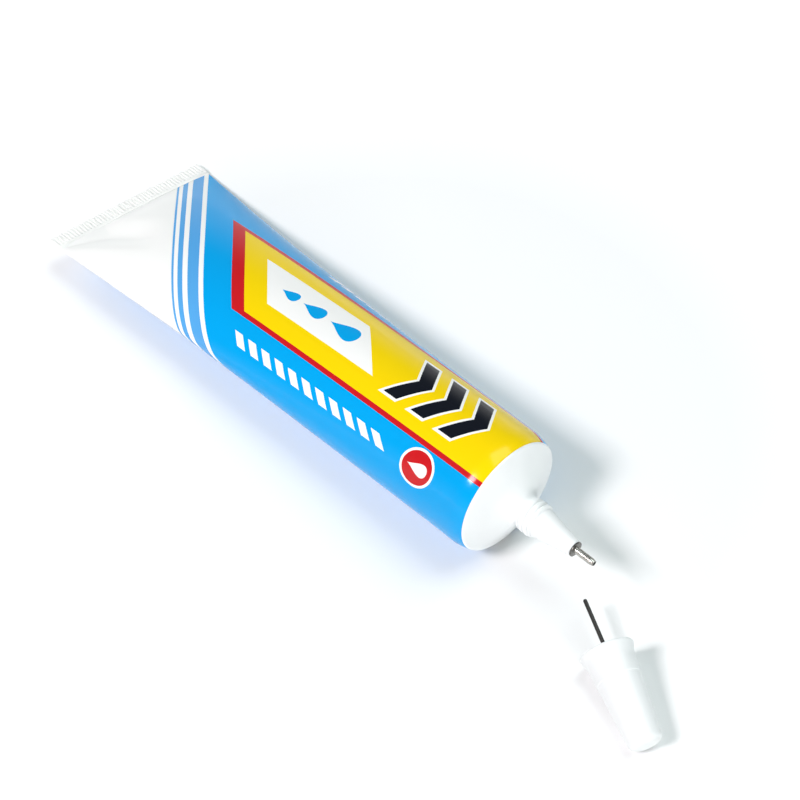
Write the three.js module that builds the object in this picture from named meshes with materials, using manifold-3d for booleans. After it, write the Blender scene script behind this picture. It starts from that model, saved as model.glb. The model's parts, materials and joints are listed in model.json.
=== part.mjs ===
// Squeeze tube of repair adhesive lying on a table, with its screw cap taken off and lying in front of it.
// Millimetres, +Z up, +X from the crimped tail to the nozzle, origin on the table under the tube's belly.
import * as THREE from "three";
import { mergeVertices } from "three/addons/utils/BufferGeometryUtils.js";
import Module from "manifold-3d";

const wasm = await Module();
wasm.setup();

// Sleeve: a round laminate tube, folded flat and crimped at the tail.
const TUBE_DIAMETER = 30;
const SLEEVE_LENGTH = 128; // rim to the inner edge of the crimp
const SLEEVE_WALL = 0.5;
const SPREAD_EXPONENT = 1.23; // 1 spreads the sleeve evenly, more spreads it later, nearer the tail
const TAIL_EDGE_EXPONENT = 0.77; // 0.5 is an elliptical section, 1 is a lens with pointed edges
const CAVITY_STOP = 4; // solid laminate between the cavity and the crimp
const CRIMP_LENGTH = 4;
const CRIMP_RIB_PITCH = 0.96;
const CRIMP_RIB_DEPTH = 0.3;
const CRIMP_ROLL = THREE.MathUtils.degToRad(10); // the crimp's +Y corner lies on the table
const REST_POINT_BEHIND_RIM = 50; // where the origin sits under the belly

// Shoulder and neck: one white moulding, its skirt inside the sleeve.
const SKIRT_LENGTH = 4;
const SHOULDER_WALL = 1.2;
const SHOULDER_LIP = 0.5;
const SHOULDER_EDGE_ROUND = 1.4;
const NECK_BASE = 5.6; // height of the neck's foot above the rim
const NECK_FILLET = 1.1;
const NECK_DIAMETER = 8.4;
const NECK_LENGTH = 4.7;
const NECK_BORE = 5.2;

// Nozzle: a tapered moulding whose spigot is pressed into the neck.
const NOZZLE_LENGTH = 9.8;
const NOZZLE_BASE_DIAMETER = 7.3;
const NOZZLE_END_DIAMETER = 3.8;
const NOZZLE_BORE = 1.8;
const SPIGOT_LENGTH = 3.5;

// Needle: a flanged steel tube pressed into the nozzle's end.
const FLANGE_DIAMETER = 3.7;
const FLANGE_THICKNESS = 0.4;
const NEEDLE_DIAMETER = 1.65;
const NEEDLE_BORE = 1.15;
const NEEDLE_REACH = 5.2; // flange face to tip
const NEEDLE_TIP_DIAMETER = 1.4;
const NEEDLE_TIP_TAPER = 0.7;
const SHANK_LENGTH = 4.5;

// Cap: a flared, tapered screw cap, long enough to cover the needle, with a pin that keeps the needle clear.
const CAP_MOUTH_DIAMETER = 12.4;
const CAP_LIP = 0.4;
const CAP_FLARE_LENGTH = 3.6;
const CAP_SHANK_DIAMETER = 10.8;
const CAP_LEDGE_HEIGHT = 7;
const CAP_LEDGE_STEP = 0.12;
const CAP_END_DIAMETER = 7.8;
const CAP_END_ROUND = 1.1;
const CAP_END_WALL = 2.2;
const CAP_MOUTH_WALL = 0.9;
const PIN_DIAMETER = 0.9;
const PIN_REACH = 12.4; // how far the pin stands out of the mouth
const PIN_ROOT = 1.4; // how far the pin is set into the closed end
const PIN_TIP_TAPER = 0.3;
const CAP_AHEAD_OF_RIM = 38; // centre of the mouth, seen from above
const CAP_ASIDE = 8.5;
const CAP_YAW = THREE.MathUtils.degToRad(25);

// Adhesive: fills the sleeve from the neck to near the tail.
const FILL_STOP = 30; // from the crimp's inner edge

// Clearances.
const FIT_GAP = 0.2; // between pieces that are pressed or welded together
const THREAD_CLEARANCE = 0.3; // neck to cap bore, and nozzle to cap
const CAP_SEAT = 0.3; // neck's foot to the mouth of the seated cap
const TIP_CLEARANCE = 0.5; // needle tip to the closed end of the seated cap

// Facets.
const SECTION_POINTS = 56;
const FILL_POINTS = 40;
const SLEEVE_STEPS = 18;
const CAVITY_STEPS = 12;
const TURNED_SIDES = 48;
const SMALL_SIDES = 24;
const CURVE_STEPS = 5;

// Sizes that follow from the driving dimensions.
const rimRadius = TUBE_DIAMETER / 2;
const crimpWidth = (Math.PI * TUBE_DIAMETER) / 2;
const crimpHalfThickness = SLEEVE_WALL + CRIMP_RIB_DEPTH / 2;
const neckRadius = NECK_DIAMETER / 2;
const neckEnd = NECK_BASE + NECK_LENGTH;
const flangeBack = neckEnd + NOZZLE_LENGTH;
const needleTip = flangeBack + FLANGE_THICKNESS + NEEDLE_REACH;
const skirtOuter = rimRadius - SLEEVE_WALL - FIT_GAP;
const skirtInner = skirtOuter - SHOULDER_WALL;
const capSeat = NECK_BASE + CAP_SEAT;
const capBoreDepth = neckEnd - capSeat;
const capCavityDepth = needleTip + TIP_CLEARANCE - capSeat;
const capLength = capCavityDepth + CAP_END_WALL;

// The tube leans until its stiff front, over the skirt, and the crimp's low corner both lie on the table.
const cornerDrop = (crimpWidth / 2) * Math.sin(CRIMP_ROLL) + crimpHalfThickness * Math.cos(CRIMP_ROLL);
const tubeTilt = Math.atan2(rimRadius - cornerDrop, SLEEVE_LENGTH + CRIMP_LENGTH - SKIRT_LENGTH);
const rimHeight = rimRadius * Math.cos(tubeTilt) + SKIRT_LENGTH * Math.sin(tubeTilt);

const finishes = {
  print: { color: 0x16a4f2, roughness: 0.25, metalness: 0 },
  moulding: { color: 0xf4f6f6, roughness: 0.45, metalness: 0 },
  steel: { color: 0xb9b7b2, roughness: 0.25, metalness: 1 },
  wire: { color: 0x6f7276, roughness: 0.35, metalness: 1 },
  glue: { color: 0xf1efe2, roughness: 0.15, metalness: 0 },
};

// A solid from a closed geometry: vertices are merged, and triangles without area on the axis are dropped.
function solidFrom(geometry) {
  const bare = new THREE.BufferGeometry().setAttribute("position", geometry.getAttribute("position"));
  bare.setIndex(geometry.index);
  const merged = mergeVertices(bare);
  const corners = [];
  for (let i = 0; i < merged.index.count; i += 3) {
    const [a, b, c] = merged.index.array.slice(i, i + 3);
    if (a !== b && b !== c && c !== a) corners.push(a, b, c);
  }
  const mesh = new wasm.Mesh({
    numProp: 3,
    vertProperties: merged.attributes.position.array,
    triVerts: new Uint32Array(corners),
  });
  return new wasm.Manifold(mesh);
}

function piece(name, solid, finish) {
  const { vertProperties, triVerts } = solid.getMesh();
  const geometry = new THREE.BufferGeometry();
  geometry.setAttribute("position", new THREE.BufferAttribute(vertProperties, 3));
  geometry.setIndex(new THREE.BufferAttribute(triVerts, 1));
  geometry.computeVertexNormals();
  const mesh = new THREE.Mesh(geometry, new THREE.MeshStandardMaterial(finishes[finish]));
  mesh.name = name;
  return mesh;
}

// A revolved solid about the X axis. The path runs anticlockwise with x as the radius and y along the axis.
function turned(path, sides) {
  const geometry = new THREE.LatheGeometry(path.getPoints(CURVE_STEPS), sides);
  return solidFrom(geometry.rotateZ(-Math.PI / 2).rotateX(Math.PI / sides));
}

// A closed loft through rings of points that run from the front to the tail.
function loft(rings) {
  const count = rings[0].length;
  const centre = (ring) => ring.reduce((sum, p) => sum.add(p), new THREE.Vector3()).divideScalar(count);
  const points = [...rings.flat(), centre(rings[0]), centre(rings.at(-1))];
  const front = points.length - 2;
  const tail = points.length - 1;
  const last = (rings.length - 1) * count;
  const corners = [];
  for (let i = 0; i < count; i++) {
    const next = (i + 1) % count;
    for (let row = 0; row < last; row += count) {
      const [a, b, c, d] = [row + i, row + next, row + count + i, row + count + next];
      corners.push(a, c, b, b, c, d);
    }
    corners.push(front, i, next, tail, last + next, last + i);
  }
  const geometry = new THREE.BufferGeometry().setFromPoints(points);
  return solidFrom(geometry.setIndex(corners));
}

// Outline of a flattened section: an ellipse whose ends grow pointed as the exponent goes from 0.5 to 1.
function sectionOutline(halfWidth, halfHeight, edge, count) {
  return Array.from({ length: count }, (_, i) => {
    const angle = (2 * Math.PI * i) / count;
    const rise = Math.sin(angle);
    const height = halfHeight * Math.sign(rise) * Math.abs(rise) ** (2 * edge);
    return new THREE.Vector2(halfWidth * Math.cos(angle), height);
  });
}

function girth(outline) {
  return outline.reduce((sum, p, i) => sum + p.distanceTo(outline[(i + 1) % outline.length]), 0);
}

// The laminate doesn't stretch, so a wider section is flatter: its girth stays that of the round tube.
function halfHeightFor(halfWidth, edge) {
  const roundGirth = girth(sectionOutline(rimRadius, rimRadius, 0.5, SECTION_POINTS));
  let low = 0;
  let high = rimRadius;
  for (let i = 0; i < 40; i++) {
    const middle = (low + high) / 2;
    if (girth(sectionOutline(halfWidth, middle, edge, SECTION_POINTS)) > roundGirth) high = middle;
    else low = middle;
  }
  return Math.max(low, SLEEVE_WALL);
}

// Ring of the sleeve at a distance behind the rim, drawn in by an inset and pressed flat by the table.
// The skirt keeps the sleeve round, and behind it the sleeve spreads.
function sleeveRing(behind, inset, count) {
  const share = Math.max(behind - SKIRT_LENGTH, 0) / (SLEEVE_LENGTH - SKIRT_LENGTH);
  const halfWidth = rimRadius + (crimpWidth / 2 - rimRadius) * share ** SPREAD_EXPONENT;
  const edge = 0.5 + (TAIL_EDGE_EXPONENT - 0.5) * share ** 2;
  const halfHeight = halfHeightFor(halfWidth, edge);
  const table = (behind * Math.sin(tubeTilt) - rimHeight + inset) / Math.cos(tubeTilt);
  return sectionOutline(halfWidth - inset, halfHeight - inset, edge, count).map((p) => {
    p.rotateAround(new THREE.Vector2(), -CRIMP_ROLL);
    return new THREE.Vector3(-behind, p.x, Math.max(p.y, table));
  });
}

// The rings lie closer together towards the tail, where the section changes fastest.
function sleeveLoft(from, to, inset, steps, count) {
  const spreadStart = Math.max(from, SKIRT_LENGTH);
  const stations = Array.from({ length: steps + 1 }, (_, i) => {
    return spreadStart + (to - spreadStart) * Math.sin((i / steps) * (Math.PI / 2));
  });
  if (from < spreadStart) stations.unshift(from);
  return loft(stations.map((behind) => sleeveRing(behind, inset, count)));
}

// Crimp: both layers pressed into ribs that run along the tube.
function crimpBand() {
  const halfRibs = 2 * Math.round(crimpWidth / CRIMP_RIB_PITCH);
  const ribLine = (offset) =>
    Array.from({ length: halfRibs + 1 }, (_, i) => {
      const wave = ((i % 2) - 0.5) * CRIMP_RIB_DEPTH;
      return new THREE.Vector2((i / halfRibs - 0.5) * crimpWidth, offset + wave);
    });
  const shape = new THREE.Shape([...ribLine(-SLEEVE_WALL), ...ribLine(SLEEVE_WALL).reverse()]);
  const band = new THREE.ExtrudeGeometry(shape, { depth: CRIMP_LENGTH, bevelEnabled: false });
  const acrossUpAlong = new THREE.Matrix4().makeBasis(
    new THREE.Vector3(0, 1, 0),
    new THREE.Vector3(0, 0, 1),
    new THREE.Vector3(1, 0, 0),
  );
  band.applyMatrix4(acrossUpAlong).rotateX(-CRIMP_ROLL);
  return solidFrom(band.translate(-SLEEVE_LENGTH - CRIMP_LENGTH, 0, 0));
}

function tubeSleeve() {
  const outside = sleeveLoft(0, SLEEVE_LENGTH, 0, SLEEVE_STEPS, SECTION_POINTS);
  const cavityEnd = SLEEVE_LENGTH - CAVITY_STOP;
  const inside = sleeveLoft(-SHOULDER_LIP, cavityEnd, SLEEVE_WALL, CAVITY_STEPS, SECTION_POINTS);
  return piece("tube_sleeve", outside.subtract(inside).add(crimpBand()), "print");
}

// The cone between the rounded rim and the neck's foot, and the same line one wall lower.
const coneFoot = new THREE.Vector2(rimRadius, FIT_GAP + SHOULDER_LIP + SHOULDER_EDGE_ROUND / 2);
const coneTop = new THREE.Vector2(neckRadius, NECK_BASE);

function onCone(distance) {
  return coneTop.clone().sub(coneFoot).normalize().multiplyScalar(distance).add(coneFoot);
}

function underCone(radius) {
  const slope = (coneTop.y - coneFoot.y) / (coneTop.x - coneFoot.x);
  return new THREE.Vector2(radius, coneFoot.y + (radius - coneFoot.x) * slope - SHOULDER_WALL);
}

function tubeShoulder() {
  const coneLength = coneTop.distanceTo(coneFoot);
  const edgeEnd = onCone(SHOULDER_EDGE_ROUND);
  const filletStart = onCone(coneLength - NECK_FILLET);
  const boreFoot = underCone(NECK_BORE / 2);
  const dome = underCone(skirtInner);
  const path = new THREE.Path();
  path.moveTo(skirtOuter, -SKIRT_LENGTH);
  path.lineTo(skirtOuter, FIT_GAP);
  path.lineTo(rimRadius, FIT_GAP);
  path.lineTo(rimRadius, FIT_GAP + SHOULDER_LIP);
  path.quadraticCurveTo(coneFoot.x, coneFoot.y, edgeEnd.x, edgeEnd.y);
  path.lineTo(filletStart.x, filletStart.y);
  path.quadraticCurveTo(coneTop.x, coneTop.y, neckRadius, NECK_BASE + NECK_FILLET);
  path.lineTo(neckRadius, neckEnd);
  path.lineTo(NECK_BORE / 2, neckEnd);
  path.lineTo(boreFoot.x, boreFoot.y);
  path.lineTo(dome.x, dome.y);
  path.lineTo(skirtInner, -SKIRT_LENGTH);
  path.closePath();
  return piece("tube_shoulder", turned(path, TURNED_SIDES), "moulding");
}

function nozzleCone() {
  const seat = neckEnd + FIT_GAP;
  const end = flangeBack - FIT_GAP;
  const spigotFoot = neckEnd - SPIGOT_LENGTH;
  const spigotRadius = NECK_BORE / 2 - FIT_GAP;
  const socketRadius = NEEDLE_DIAMETER / 2 + FIT_GAP;
  const socketFoot = flangeBack - SHANK_LENGTH - FIT_GAP;
  const path = new THREE.Path();
  path.moveTo(NOZZLE_BORE / 2, spigotFoot);
  path.lineTo(spigotRadius, spigotFoot);
  path.lineTo(spigotRadius, seat);
  path.lineTo(NOZZLE_BASE_DIAMETER / 2, seat);
  path.lineTo(NOZZLE_END_DIAMETER / 2, end);
  path.lineTo(socketRadius, end);
  path.lineTo(socketRadius, socketFoot);
  path.lineTo(NOZZLE_BORE / 2, socketFoot);
  path.closePath();
  return piece("nozzle_cone", turned(path, TURNED_SIDES), "moulding");
}

function needleTipPiece() {
  const flangeFace = flangeBack + FLANGE_THICKNESS;
  const shankFoot = flangeBack - SHANK_LENGTH;
  const path = new THREE.Path();
  path.moveTo(NEEDLE_BORE / 2, shankFoot);
  path.lineTo(NEEDLE_DIAMETER / 2, shankFoot);
  path.lineTo(NEEDLE_DIAMETER / 2, flangeBack);
  path.lineTo(FLANGE_DIAMETER / 2, flangeBack);
  path.lineTo(FLANGE_DIAMETER / 2, flangeFace);
  path.lineTo(NEEDLE_DIAMETER / 2, flangeFace);
  path.lineTo(NEEDLE_DIAMETER / 2, needleTip - NEEDLE_TIP_TAPER);
  path.lineTo(NEEDLE_TIP_DIAMETER / 2, needleTip);
  path.lineTo(NEEDLE_BORE / 2, needleTip);
  path.closePath();
  return piece("needle_tip", turned(path, SMALL_SIDES), "steel");
}

// The adhesive follows the inside of the sleeve, then the shoulder's dome, up to the nozzle's spigot.
function adhesiveFill() {
  const inset = SLEEVE_WALL + FIT_GAP;
  const front = SKIRT_LENGTH + FIT_GAP;
  const sleevePart = sleeveLoft(front, SLEEVE_LENGTH - FILL_STOP, inset, CAVITY_STEPS, FILL_POINTS);
  const plugRadius = skirtInner - FIT_GAP;
  const neckPlugRadius = NECK_BORE / 2 - FIT_GAP;
  const dome = underCone(plugRadius);
  const neckFoot = underCone(neckPlugRadius);
  const path = new THREE.Path();
  path.moveTo(0, -2 * front);
  path.lineTo(plugRadius / 2, -2 * front);
  path.lineTo(plugRadius, -front);
  path.lineTo(dome.x, dome.y - FIT_GAP);
  path.lineTo(neckFoot.x, neckFoot.y - FIT_GAP);
  path.lineTo(neckPlugRadius, neckEnd - SPIGOT_LENGTH - FIT_GAP);
  path.lineTo(0, neckEnd - SPIGOT_LENGTH - FIT_GAP);
  return piece("adhesive_fill", sleevePart.add(turned(path, FILL_POINTS)), "glue");
}

// Outside of the cap, from the lip of its mouth to the closed end.
function traceCapOutside(path) {
  const mouth = CAP_MOUTH_DIAMETER / 2;
  const shank = CAP_SHANK_DIAMETER / 2;
  const end = CAP_END_DIAMETER / 2;
  const taper = (shank - end) / (capLength - CAP_FLARE_LENGTH);
  const ledge = shank - (CAP_LEDGE_HEIGHT - CAP_FLARE_LENGTH) * taper;
  path.lineTo(mouth - CAP_LIP, 0);
  path.quadraticCurveTo(mouth, 0, mouth, CAP_LIP);
  path.quadraticCurveTo(shank, (CAP_LIP + CAP_FLARE_LENGTH) / 2, shank, CAP_FLARE_LENGTH);
  path.lineTo(ledge, CAP_LEDGE_HEIGHT);
  path.lineTo(ledge - CAP_LEDGE_STEP, CAP_LEDGE_HEIGHT + CAP_LEDGE_STEP);
  path.lineTo(end, capLength - CAP_END_ROUND);
  path.quadraticCurveTo(end, capLength, end - CAP_END_ROUND, capLength);
  path.lineTo(0, capLength);
}

function screwCap() {
  const threadBore = neckRadius + THREAD_CLEARANCE;
  const mouthBore = CAP_MOUTH_DIAMETER / 2 - CAP_MOUTH_WALL;
  const coneBore = NOZZLE_BASE_DIAMETER / 2 + THREAD_CLEARANCE;
  const endBore = NOZZLE_END_DIAMETER / 2 + THREAD_CLEARANCE;
  const flangeDepth = flangeBack - capSeat;
  const pinSocket = PIN_DIAMETER / 2 + FIT_GAP;
  const path = new THREE.Path();
  path.moveTo(0, capCavityDepth + PIN_ROOT + FIT_GAP);
  path.lineTo(pinSocket, capCavityDepth + PIN_ROOT + FIT_GAP);
  path.lineTo(pinSocket, capCavityDepth);
  path.lineTo(endBore, capCavityDepth);
  path.lineTo(endBore, flangeDepth);
  path.lineTo(coneBore, capBoreDepth);
  path.lineTo(threadBore, capBoreDepth);
  path.lineTo(threadBore, CAP_FLARE_LENGTH / 2);
  path.lineTo(mouthBore, 0);
  traceCapOutside(path);
  return piece("screw_cap", turned(path, TURNED_SIDES), "moulding");
}

function capPin() {
  const radius = PIN_DIAMETER / 2;
  const path = new THREE.Path();
  path.moveTo(0, -PIN_REACH);
  path.lineTo(radius / 2, -PIN_REACH);
  path.lineTo(radius, PIN_TIP_TAPER - PIN_REACH);
  path.lineTo(radius, capCavityDepth + PIN_ROOT);
  path.lineTo(0, capCavityDepth + PIN_ROOT);
  return piece("cap_pin", turned(path, SMALL_SIDES), "wire");
}

// The tube group has its origin at the rim's centre and its X axis along the tube.
function tubeAssembly() {
  const tube = new THREE.Group();
  tube.add(tubeSleeve(), tubeShoulder(), nozzleCone(), needleTipPiece(), adhesiveFill());
  tube.rotation.y = -tubeTilt;
  tube.position.set(REST_POINT_BEHIND_RIM, 0, rimHeight);
  return tube;
}

// The cap group has its origin at the mouth and its X axis towards the closed end. It lies on lip and end.
function capAssembly() {
  const cap = new THREE.Group();
  cap.add(screwCap(), capPin());
  const outside = new THREE.Path();
  outside.moveTo(CAP_MOUTH_DIAMETER / 2 - CAP_MOUTH_WALL, 0);
  traceCapOutside(outside);
  const points = outside.getPoints(CURVE_STEPS);
  const lip = points.reduce((widest, p) => (p.x >= widest.x ? p : widest));
  const flat = Math.cos(Math.PI / TURNED_SIDES);
  const beyond = points.filter((p) => p.y > lip.y);
  const lean = Math.min(...beyond.map((p) => Math.atan2((lip.x - p.x) * flat, p.y - lip.y)));
  const height = lip.x * flat * Math.cos(lean) + lip.y * Math.sin(lean);
  cap.rotation.set(0, lean, -CAP_YAW, "ZYX");
  cap.position.set(REST_POINT_BEHIND_RIM + CAP_AHEAD_OF_RIM, -CAP_ASIDE, height);
  return cap;
}

const glueTube = new THREE.Group();
glueTube.add(tubeAssembly(), capAssembly());

export default glueTube;
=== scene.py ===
"""Looks of a squeeze tube of repair adhesive that lies on a pale table, with its screw cap taken off."""

import json
import math

import bmesh
import bpy
from bpy.props import FloatProperty, FloatVectorProperty, PointerProperty
from mathutils import Matrix, Vector, noise


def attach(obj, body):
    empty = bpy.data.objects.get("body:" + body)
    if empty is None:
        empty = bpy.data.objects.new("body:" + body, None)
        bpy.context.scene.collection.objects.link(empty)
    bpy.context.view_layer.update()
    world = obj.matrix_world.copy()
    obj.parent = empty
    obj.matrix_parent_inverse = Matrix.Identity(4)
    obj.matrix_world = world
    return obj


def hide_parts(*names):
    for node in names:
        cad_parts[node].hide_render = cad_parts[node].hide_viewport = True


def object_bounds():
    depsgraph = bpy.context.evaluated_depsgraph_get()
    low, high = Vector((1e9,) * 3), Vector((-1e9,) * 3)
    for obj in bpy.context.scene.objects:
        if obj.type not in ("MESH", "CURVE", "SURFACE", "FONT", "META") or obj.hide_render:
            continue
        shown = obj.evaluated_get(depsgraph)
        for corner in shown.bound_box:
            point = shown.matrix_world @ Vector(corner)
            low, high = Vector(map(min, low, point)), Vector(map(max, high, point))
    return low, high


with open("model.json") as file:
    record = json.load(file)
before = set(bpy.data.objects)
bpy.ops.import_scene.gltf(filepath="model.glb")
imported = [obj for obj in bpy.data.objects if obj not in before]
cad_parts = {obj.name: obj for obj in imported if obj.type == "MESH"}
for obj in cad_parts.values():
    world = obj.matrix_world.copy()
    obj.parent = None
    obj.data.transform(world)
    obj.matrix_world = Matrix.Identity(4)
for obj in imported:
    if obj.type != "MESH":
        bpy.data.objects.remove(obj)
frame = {"record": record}
CAD_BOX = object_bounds()

bl_info = {
    "name": "Adhesive Tube",
    "version": (1, 0, 0),
    "blender": (4, 5, 0),
    "location": "View3D > Sidebar > Adhesive Tube",
    "description": "Models a printed adhesive tube with its shoulder, nozzle, needle, cap and pin",
    "category": "Mesh",
}

MM = 0.001
WELD = 1e-7  # vertices closer than this become one

# How finely the pieces are modelled.
TURNED_STEPS = 128
SMALL_STEPS = 64
ROUND_SEGMENTS = 6
SMOOTH_DEGREES = 40  # sharper edges than this stay sharp
SMALL_SMOOTH_DEGREES = 50
POINTS_PER_RIB = 4
CRIMP_RIBS = 49
SLEEVE_POINTS = 2 * CRIMP_RIBS * POINTS_PER_RIB
OUTSIDE_ROWS = 70
SKIRT_ROWS = 8
INSIDE_ROWS = 10
OUTLINE_STEPS = 240
GIRTH_HALVINGS = 24
THREAD_CUTS = 56

# How the round sleeve goes over into the flat crimp, as the CAD source has it.
SPREAD_EXPONENT = 1.23
TAIL_EDGE_EXPONENT = 0.77
CAVITY_STOP = 4 * MM  # solid laminate between the cavity and the crimp
FILL_STOP = 30 * MM  # the adhesive ends this far ahead of the crimp
FIT_GAP = 0.2 * MM
SEAT_GAP = 0.02 * MM
NOZZLE_BASE = 7.3 * MM
RIB_RUN_OUT = 0.25 * MM

# Unevenness of the sleeve. A place on its web is how far round the girth and how far behind the rim it is.
WAVE_PITCH = 22 * MM
CALM_FRONT = 12 * MM  # the waves fade out this near the rim
CALM_TAIL = 15 * MM  # and this near the crimp
SEAM_PLACE = 0.75  # share of the girth
SEAM_LAP = 1.4 * MM
SEAM_STEP = 0.12 * MM
DENT_CORNER = (46.5 * MM, 128 * MM)
DENT_APEX = (33 * MM, 107 * MM)
DENT_WIDTH = 5.5 * MM
DENT_FADE = 2.4  # in widths of the dent
DENT_RUN_OUT = 0.35  # share of the crease
DEEPEST_DENT = 0.55  # share of the room under the laminate

# Print, in millimetres on the flat web: across from the middle of the front, along from the rim to the tail.
WEB_MAP = "print"
FAR = 500.0
SLANT = 1.1
FIELD_HALF_WIDTH = 43.0
BACK_START = 26.5
FIELD_END = 101.5
STRIPES = ((103.2, 107.2), (109.0, 110.8), (112.2, 113.0))
BAND_HALF_WIDTH = 10.6
BAND_EDGE = 1.2
BAND_END = 87.0
BAND_TAIL_EDGE = 4.5
PLATE_HALF_WIDTH = 5.8
PLATE_ENDS = (44.0, 79.0)
PLATE_DROPS = ((53.0, 9.0), (63.0, 7.2), (71.0, 5.6))
DROP_FULLNESS = 0.85
ARROW_SLOPE = 0.6
ARROW_COUNT = 3
ARROW_START = 8.0
ARROW_PITCH = 8.4
ARROW_THICKNESS = 4.0
ARROW_KEYLINE = 0.7
ARROW_HALF_WIDTH = 7.0
DASH_LANE = (15.4, 18.2)
DASH_START = 44.0
DASH_COUNT = 11
DASH_PITCH = 4.4
DASH_LENGTH = 2.6
ROUNDEL_PLACE = (16.8, 15.0)
ROUNDEL_RADIUS = 4.6
ROUNDEL_RING = 0.6
ROUNDEL_DROP = 5.6
MARK_ACROSS = (43.6, 46.4)
MARK_ALONG = (116.0, 125.0)
PRINT_END = 127.5

WHITE_PLASTIC = "polyethylene_moulded_white"

# Spacing of the patterns in the finishes.
WALL_WAVE = 9 * MM
VARNISH_PEEL = 0.7 * MM
MOULD_GRAIN = 0.45 * MM
MOULD_FLOW = 7 * MM
RING_PITCH = 0.2 * MM
RING_RUN = 6 * MM
SCORE_PITCH = 0.12 * MM
SCORE_RUN = 9 * MM
BUBBLE_PITCH = 3 * MM

# The darker tone of a finish, as a share of its main colour. The flange's share is painted shade, not a
# finish.
MOULD_TONE = 0.97
FLANGE_PAINTED_SHADE = 0.38
WIRE_TONE = 0.75

# Stage, in metres.
FLOOR_SIZE = 6.0
FLOOR_DROP = 0.05 * MM
FLOOR_LIFT = 0.05  # glow of the floor by the object, as the camera sees it
FLOOR_LIFT_RINGS = (0.08, 0.35)  # distances over which the floor grows to white
HORIZON_RISE = (0.1, 0.4)  # heights over which the mirrored white ends
LAMP_DISTANCE = 1.1
LAMPS = (  # name, direction from the object, size in metres and tint
    ("side_lamp", (-1.5, -6.7, 8.2), 0.24, "#fcf5f7"),
    ("overhead_box", (1.0, 3.4, 9.0), 0.7, "#eefbfa"),
    ("front_box", (9.0, -2.5, 1.6), 0.3, "#ffffff"),
)
CAMERA_AIM = (7.5 * MM, 8.94 * MM, 0.0)
SENSOR_WIDTH = 36  # millimetres
CLIP_START = 0.01


def linear(hex_colour):
    """Linear RGBA of an sRGB hex colour."""
    parts = [int(hex_colour[i:i + 2], 16) / 255 for i in (1, 3, 5)]
    return tuple(c / 12.92 if c <= 0.04045 else ((c + 0.055) / 1.055) ** 2.4 for c in parts) + (1.0,)


def length(name, description, millimetres):
    """A length that a user can set, written in millimetres and kept in metres."""
    return FloatProperty(
        name=name, description=description, default=millimetres * MM, unit="LENGTH", precision=5
    )


def angle(name, description, degrees):
    """An angle that a user can set, written in degrees."""
    return FloatProperty(
        name=name, description=description, default=math.radians(degrees), subtype="ANGLE"
    )


def colour(name, description, hex_colour):
    """A colour that a user can set, written as sRGB hex."""
    return FloatVectorProperty(
        name=name, description=description, default=linear(hex_colour), subtype="COLOR", size=4, min=0, max=1
    )


def power(name, description, watts):
    """A lamp's power that a user can set."""
    return FloatProperty(name=name, description=description, default=watts, unit="POWER")


class SleeveSettings(bpy.types.PropertyGroup):
    """Sizes of the laminate sleeve and its crimp."""

    diameter: length("Diameter", "Round front end of the sleeve", 30.0)
    length: length("Length", "From the rim to the inner edge of the crimp", 128.0)
    wall: length("Wall", "Thickness of the laminate", 0.5)
    skirt: length("Stiff front", "Stretch that the shoulder's skirt keeps round", 4.0)
    rim_draw: length("Rim draw-in", "How far the rim is drawn in onto the shoulder", 0.75)
    crimp_length: length("Crimp length", "Flat sealed band at the tail", 4.0)
    rib_length: length("Rib length", "Part of the crimp that the jaws have ribbed", 3.2)
    rib_depth: length("Rib depth", "From the bottom of a rib to its top", 0.3)
    dent_depth: length("Dent depth", "Pressed facet beside the crimp", 1.6)
    wave_height: length("Wave height", "Slight unevenness of the laminate", 0.16)
    roll: angle("Roll", "The crimp's right corner lies lower by this angle", 10.0)


class PrintSettings(bpy.types.PropertyGroup):
    """Inks of the sleeve's print."""

    ground: colour("Ground", "White laminate that carries the print", "#f8f8f6")
    field: colour("Field", "Large field round the front of the tube", "#00a3e8")
    stripe: colour("Stripes", "Light stripes beside the field", "#56a6e4")
    band: colour("Band", "Lengthwise band on the front", "#f6d404")
    edging: colour("Edging", "Lines round the band", "#c81c22")
    dark: colour("Dark ink", "Arrowheads and the print's position mark", "#12161f")


class MouldingSettings(bpy.types.PropertyGroup):
    """Sizes of the white shoulder, its neck and the nozzle."""

    plastic: colour("Plastic", "White polyethylene", "#f1f4f4")
    shoulder_wall: length("Shoulder wall", "Thickness of the cone and of the skirt", 1.2)
    edge_round: length("Edge round", "Rounding between the rim and the cone", 0.4)
    cone_foot: length("Cone foot", "Where the cone would meet the sleeve's diameter", 0.1)
    cone_end: length("Cone end", "Where the cone would meet the neck's diameter", 5.0)
    flare_diameter: length("Flare diameter", "Where the cone is hollowed most", 14.0)
    flare_depth: length("Flare depth", "How far the cone is hollowed", 0.6)
    flare_round: length("Flare round", "Rounding of the hollow", 2.4)
    neck_base: length("Neck base", "Where the neck and the seated cap begin, ahead of the rim", 5.6)
    neck_fillet: length("Neck fillet", "Soft corner between the cone and the neck", 1.0)
    neck_diameter: length("Neck diameter", "Over the crests of the thread", 8.4)
    neck_root: length("Thread root", "Diameter between the crests of the thread", 7.4)
    neck_length: length("Neck length", "From the neck base to the nozzle", 4.7)
    neck_bore: length("Neck bore", "Socket for the nozzle's spigot", 5.2)
    thread_pitch: length("Thread pitch", "From crest to crest", 1.35)
    nozzle_length: length("Nozzle length", "From the neck to the needle's flange", 9.8)
    nozzle_end: length("Nozzle end", "Diameter at the needle's flange", 3.8)
    nozzle_bore: length("Nozzle bore", "Channel for the adhesive", 1.8)
    spigot_length: length("Spigot length", "Part of the nozzle inside the neck", 3.5)


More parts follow.
